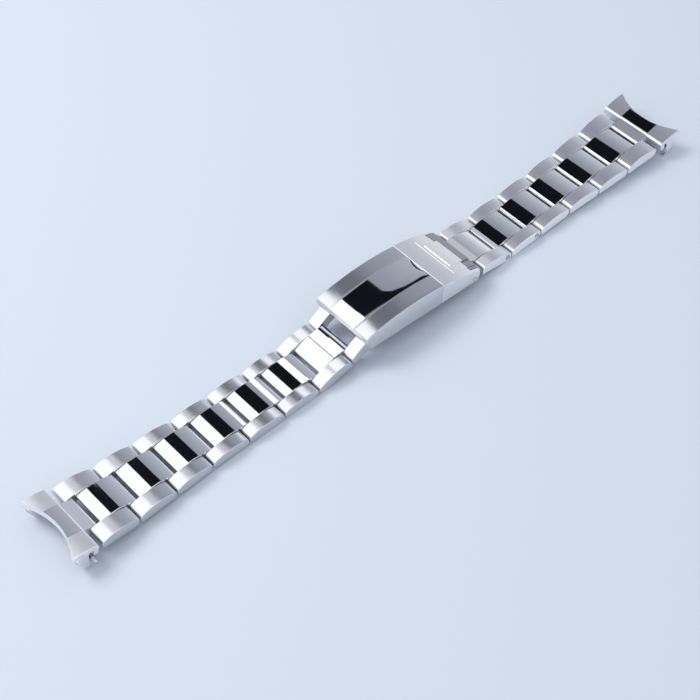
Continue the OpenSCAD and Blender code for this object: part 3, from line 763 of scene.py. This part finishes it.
def part_finishes(piece, place):
    """Gives the faces of an end link the second or third material by where they lie from its hinge's place.

    The second, polished one is for the middle of the shell: faces that look up, past the tongue. The third,
    dark one is painted shade for what lies wholly below the shell, the block and the ends of the legs: it
    stands for the shade under the shell.
    """
    for face in piece.data.polygons:
        corners = [piece.data.vertices[v].co for v in face.vertices]
        widest = max(abs(corner.y) for corner in corners)
        past_tongue = abs(face.center.x - place[0]) > SHELL_START
        if face.normal.z > 0.3 and widest < SHELL_POLISHED and past_tongue:
            face.material_index = 1
        # Painted shade: faces wholly below the shell get the dark steel for the shade under it.
        elif max(corner.z for corner in corners) < place[2] + LEG_TOP:
            face.material_index = 2


# Studio

def sheet(name, outline, height):
    """A flat stage sheet with an outline of (x, y) corners at a height."""
    mesh = bpy.data.meshes.new(name)
    mesh.from_pydata([(x, y, height) for x, y in outline], [], [tuple(range(len(outline)))])
    obj = add_object(name, mesh)
    return obj


def make_floor():
    """Pale floor: a plain matt sheet that takes the shadow."""
    setting = bpy.context.scene.bracelet_studio
    floor = sheet("floor", [(-4, -4), (4, -4), (4, 4), (-4, 4)], 0)
    material = bpy.data.materials.new("floor_paper")
    shader = fresh_tree(material, "ShaderNodeBsdfPrincipled")[1]
    shader.inputs["Base Color"].default_value = (*setting.floor, 1)
    shader.inputs["Roughness"].default_value = 0.9
    shader.inputs["Specular IOR Level"].default_value = 0.1
    floor.data.materials.append(material)


def shaped_card(name, outline, height, colour):
    """A glowing card of one colour that shows in the steel, and nowhere else."""
    card = sheet(name, outline, height)
    material = bpy.data.materials.new(name)
    glow = fresh_tree(material, "ShaderNodeEmission")[1]
    glow.inputs["Color"].default_value = (*colour, 1)
    card.data.materials.append(material)
    card.visible_camera = False
    card.visible_diffuse = False
    card.visible_shadow = False
    card.visible_transmission = False
    card.visible_volume_scatter = False


def plain_card(name, low, high, height, colour):
    """A rectangular card between two corners."""
    (x0, y0), (x1, y1) = low, high
    shaped_card(name, [(x0, y0), (x1, y0), (x1, y1), (x0, y1)], height, colour)


def make_cards():
    """The cards that the steel reflects.

    A white card over the left side and two white wings leave a slot, through which polished steel sees a
    black card. Its right edge is bent, and shows as a bent edge on the cover's strip. Three small cards
    hang low over the clasp: two white ones for its open end, and a grey one for the link behind the catch.
    """
    setting = bpy.context.scene.bracelet_studio
    edge, wing_edge, wing_height = setting.card_edge, setting.wing_edge, setting.wing_height
    plain_card("white_card", (-0.9, -0.9), (edge, 0.9), setting.card_height, WHITE)
    plain_card("near_wing", (-0.6, -0.6), (wing_edge, setting.slot_low), wing_height, WHITE)
    plain_card("far_wing", (-0.6, setting.slot_high), (wing_edge, 0.6), wing_height, WHITE)
    plain_card("low_white_card", (-0.0175, -0.010), (-0.0066, 0.030), 0.024, WHITE)
    plain_card("low_white_tongue", (-0.0067, 0.0012), (-0.0054, 0.0126), 0.024, WHITE)
    plain_card("low_grey_card", (0.024, -0.012), (0.035, 0.024), 0.0125, GREY)
    near_side = [(-0.4, 0.36), (0.45, 0.36), (0.55, 0.32), (1.40, 0.32)]
    lobe = [(1.40, 0.61), (1.20, 0.61), (0.975, 0.53), (0.80, 0.49), (0.71, 0.50), (0.65, 0.505)]
    bend = [(0.63, 0.515), (0.605, 0.55), (0.585, 0.61), (0.575, 0.65), (0.56, 0.69), (0.54, 0.80)]
    outline = [*near_side, *lobe, *bend, (-0.4, 0.80)]
    shaped_card("black_card", outline, setting.black_height, BLACK)


def make_lamp():
    """One soft lamp behind the bracelet on the left, which gives the soft shadow on its near side."""
    setting = bpy.context.scene.bracelet_studio
    lamp = bpy.data.lights.new("soft_lamp", "AREA")
    lamp.shape = "SQUARE"
    lamp.size = 0.35
    lamp.energy = setting.lamp_energy
    lamp.color = (1, 0.98, 0.95)
    obj = add_object("soft_lamp", lamp)
    obj.location = (-0.30, 0.38, 0.62)
    aim = Vector((0, 0, 0)) - obj.location
    obj.rotation_euler = aim.to_track_quat("-Z", "Y").to_euler()
    obj.visible_glossy = False


def make_world():
    """Plain pale light from all round; the steel sees grey overhead and white near the horizon."""
    world = bpy.context.scene.world or bpy.data.worlds.new("studio")
    bpy.context.scene.world = world
    world.use_nodes = True
    tree = world.node_tree
    tree.nodes.clear()
    output = tree.nodes.new("ShaderNodeOutputWorld")
    mix = tree.nodes.new("ShaderNodeMixShader")
    rays = tree.nodes.new("ShaderNodeLightPath")
    plain = tree.nodes.new("ShaderNodeBackground")
    seen = tree.nodes.new("ShaderNodeBackground")
    place = tree.nodes.new("ShaderNodeTexCoord")
    axes = tree.nodes.new("ShaderNodeSeparateXYZ")
    ramp = tree.nodes.new("ShaderNodeValToRGB")
    plain.inputs["Color"].default_value = (0.86, 0.91, 1.0, 1)
    plain.inputs["Strength"].default_value = 0.7
    tree.links.new(place.outputs["Generated"], axes.inputs["Vector"])
    tree.links.new(axes.outputs["Z"], ramp.inputs["Fac"])
    tree.links.new(ramp.outputs["Color"], seen.inputs["Color"])
    tree.links.new(rays.outputs["Is Glossy Ray"], mix.inputs[0])
    tree.links.new(plain.outputs["Background"], mix.inputs[1])
    tree.links.new(seen.outputs["Background"], mix.inputs[2])
    tree.links.new(mix.outputs["Shader"], output.inputs["Surface"])
    stops = ramp.color_ramp.elements
    stops[0].position, stops[0].color = 0.05, (1.0, 1.0, 1.02, 1)
    stops[1].position, stops[1].color = 0.75, (0.33, 0.34, 0.40, 1)
    middle = stops.new(0.35)
    middle.color = (0.60, 0.62, 0.70, 1)


def make_camera():
    """Camera at the photographed angle, placed by its target, distance and angles."""
    setting = bpy.context.scene.bracelet_studio
    a, e, roll = setting.azimuth, setting.elevation, setting.roll
    forward = Vector((math.cos(a) * math.cos(e), math.sin(a) * math.cos(e), -math.sin(e)))
    right = Vector((math.sin(a), -math.cos(a), 0))
    up = right.cross(forward)
    right_rolled = math.cos(roll) * right - math.sin(roll) * up
    up_rolled = math.sin(roll) * right + math.cos(roll) * up
    place = Vector(setting.target) - setting.distance * forward
    data = bpy.data.cameras.new("camera")
    data.lens = setting.focal_length
    data.sensor_width = 36
    data.clip_start = 0.01
    camera = add_object("camera", data)
    turn = Matrix((right_rolled, up_rolled, -forward)).transposed()
    camera.matrix_world = Matrix.Translation(place) @ turn.to_4x4()
    bpy.context.scene.camera = camera


# Steps, in the sidebar

class BRACELET_OT_link_outers(bpy.types.Operator):
    """Makes the brushed outer pieces of every link."""
    bl_idname = "bracelet.link_outers"
    bl_label = "Link Outer Pieces"

    def execute(self, context):
        finish = finishes()
        # Painted light: the right half's outer pieces get a paler, rougher copy of the brushed steel, for the
        # light that falls on them.
        for half, key in (("left", "brushed"), ("right", "soft")):
            for k in range(1, LINK_COUNTS[half] + 1):
                make_link_outers(half, k, finish[key], "brushed_steel")
        return {"FINISHED"}


class BRACELET_OT_link_centres(bpy.types.Operator):
    """Makes the polished centre piece of every link."""
    bl_idname = "bracelet.link_centres"
    bl_label = "Link Centre Pieces"

    def execute(self, context):
        finish = finishes()["polished"]
        for half in HALVES:
            for k in range(1, LINK_COUNTS[half] + 1):
                make_link_centre(half, k, finish, "polished_steel")
        return {"FINISHED"}


class BRACELET_OT_clasp(bpy.types.Operator):
    """Makes the cover, and finishes the catch and the adapter."""
    bl_idname = "bracelet.clasp"
    bl_label = "Clasp"

    def execute(self, context):
        finish = finishes()
        make_cover(finish, "cover_steel")
        for node, body, slot, key in (
                ("safety_catch", "safety_catch", "cover_steel", "pale"),
                ("adapter", "adapter", "polished_steel", "polished")):
            piece = refined_copy(node, f"{node}_piece", CLASP_EDGE)
            dress(piece, finish[key], body, slot, node)
        return {"FINISHED"}


class BRACELET_OT_end_links(bpy.types.Operator):
    """Finishes the end links that meet the watch case."""
    bl_idname = "bracelet.end_links"
    bl_label = "End Links"

    def execute(self, context):
        finish = finishes()
        for half, key in (("left", "pale"), ("right", "soft")):
            piece = refined_copy(f"{half}_end_link", f"{half}_end_piece", END_LINK_EDGE)
            dress(piece, finish[key], f"{half}_end", "satin_steel", f"{half}_end_link")
            piece.data.materials.append(finish["polished"])
            # The third material, the dark steel, is painted shade for the parts below the shell.
            piece.data.materials.append(finish["dark"])
            part_finishes(piece, hinge(half, LINK_COUNTS[half]))
        return {"FINISHED"}


class BRACELET_OT_inner_steel(bpy.types.Operator):
    """Gives the blades a dark steel that is painted shade for the cover above them, and the pins, screws and
    spring bars their finishes.
    """
    bl_idname = "bracelet.inner_steel"
    bl_label = "Blades, Pins and Spring Bars"

    def execute(self, context):
        finish = finishes()
        for name, node in frame["nodes"].items():
            key = "pins"
            # Painted shade: the blades take the dark steel for the shade under the cover.
            if name.endswith("blade"):
                key = "blades"
            elif name.endswith("spring"):
                key = "spring"
            node.data.materials.clear()
            node.data.materials.append(finish[key])
        return {"FINISHED"}


class BRACELET_OT_stage(bpy.types.Operator):
    """Sets up the floor, the cards, the lamp, the world and the camera."""
    bl_idname = "bracelet.stage"
    bl_label = "Stage"

    def execute(self, context):
        make_floor()
        make_cards()
        make_lamp()
        make_world()
        make_camera()
        context.scene.view_settings.view_transform = "Standard"
        return {"FINISHED"}


class BRACELET_PT_panel(bpy.types.Panel):
    """Sidebar panel with the bracelet's steps and settings."""
    bl_idname = "BRACELET_PT_panel"
    bl_label = "Steel Watch Bracelet"
    bl_space_type = "VIEW_3D"
    bl_region_type = "UI"
    bl_category = "Bracelet"

    def draw(self, context):
        for operator in OPERATORS:
            self.layout.operator(operator.bl_idname)
        for name, group in GROUPS.items():
            box = self.layout.box()
            for setting in group.__annotations__:
                box.prop(getattr(context.scene, name), setting)


OPERATORS = (
    BRACELET_OT_inner_steel,
    BRACELET_OT_link_outers,
    BRACELET_OT_link_centres,
    BRACELET_OT_clasp,
    BRACELET_OT_end_links,
    BRACELET_OT_stage,
)


def register():
    """Registers the settings, operators and panel."""
    for group in GROUPS.values():
        bpy.utils.register_class(group)
    for name, group in GROUPS.items():
        setattr(bpy.types.Scene, name, bpy.props.PointerProperty(type=group))
    for cls in (*OPERATORS, BRACELET_PT_panel):
        bpy.utils.register_class(cls)


def unregister():
    """Takes them away again."""
    for cls in (BRACELET_PT_panel, *reversed(OPERATORS)):
        bpy.utils.unregister_class(cls)
    for name in GROUPS:
        delattr(bpy.types.Scene, name)
    for group in reversed(GROUPS.values()):
        bpy.utils.unregister_class(group)


def main():
    register()
    bpy.ops.bracelet.inner_steel()
    bpy.ops.bracelet.link_outers()
    bpy.ops.bracelet.link_centres()
    bpy.ops.bracelet.clasp()
    bpy.ops.bracelet.end_links()
    bpy.ops.bracelet.stage()


if __name__ == "__main__":
    main()
